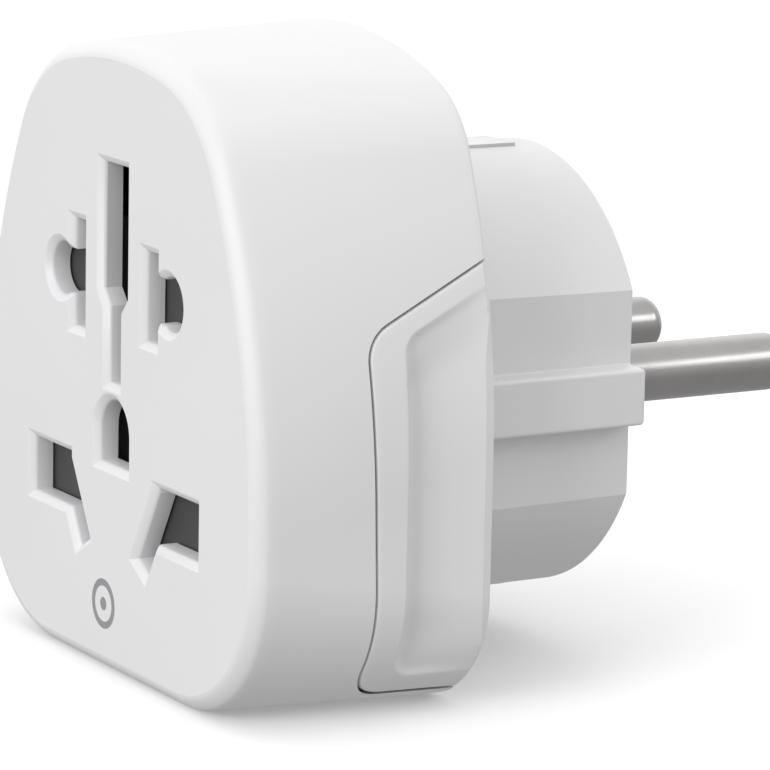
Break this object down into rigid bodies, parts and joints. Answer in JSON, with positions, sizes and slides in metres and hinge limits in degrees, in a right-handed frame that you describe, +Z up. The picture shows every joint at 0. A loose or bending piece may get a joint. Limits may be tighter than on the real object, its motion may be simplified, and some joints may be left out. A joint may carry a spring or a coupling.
{
  "type": "universal travel adapter",
  "caption": "Travel plug adapter: a shuttered universal socket face that takes flat, slanted and round plug pins, on a round earthed plug with two round pins.",
  "frame": {"origin": "centre of the plug's flat end face, midway between the two round pins", "axes": "+Y runs out along the pins; the socket face looks along -Y; +Z is up, the end with the wide earth slot; seen from the socket face, +X is to the right, on the line side"},
  "size_m": [0.0492, 0.0575, 0.0517],
  "materials": {
    "shell_white": "fine satin moulding, white",
    "carrier_plastic": "dark grey moulding, matte",
    "shutter_plastic": "dark grey moulding, satin",
    "nickel": "nickel plated, satin",
    "contact_brass": "rolled strip, satin",
    "spring_steel": "drawn wire, bright",
    "screw_steel": "zinc plated, satin"
  },
  "bodies": {
    "housing": {"front_shell": "shell_white", "rear_shell": "shell_white", "contact_carrier": "carrier_plastic", "shutter_spring_left": "spring_steel", "shutter_spring_right": "spring_steel", "line_pin": "nickel", "neutral_pin": "nickel", "line_busbar": "contact_brass", "neutral_busbar": "contact_brass", "line_upper_contact": "contact_brass", "neutral_upper_contact": "contact_brass", "line_lower_contact": "contact_brass", "neutral_lower_contact": "contact_brass", "earth_busbar": "contact_brass", "earth_upper_contact": "contact_brass", "earth_lower_contact": "contact_brass", "earth_clip_top": "nickel", "earth_clip_bottom": "nickel", "earth_tube": "nickel", "earth_strap": "contact_brass", "line_rivets": "nickel", "neutral_rivets": "nickel", "earth_rivets": "nickel", "housing_screws": "screw_steel"},
    "shutter": {"shutter": "shutter_plastic"}
  },
  "joints": [
    {"name": "shutter_slide", "type": "slide", "parent": "housing", "child": "shutter", "axis": [0, 0, 1], "range_m": [0, 0.0094], "stiffness_N_per_m": 120, "springref_m": -0.004, "deforming": ["shutter_spring_left", "shutter_spring_right"]}
  ]
}
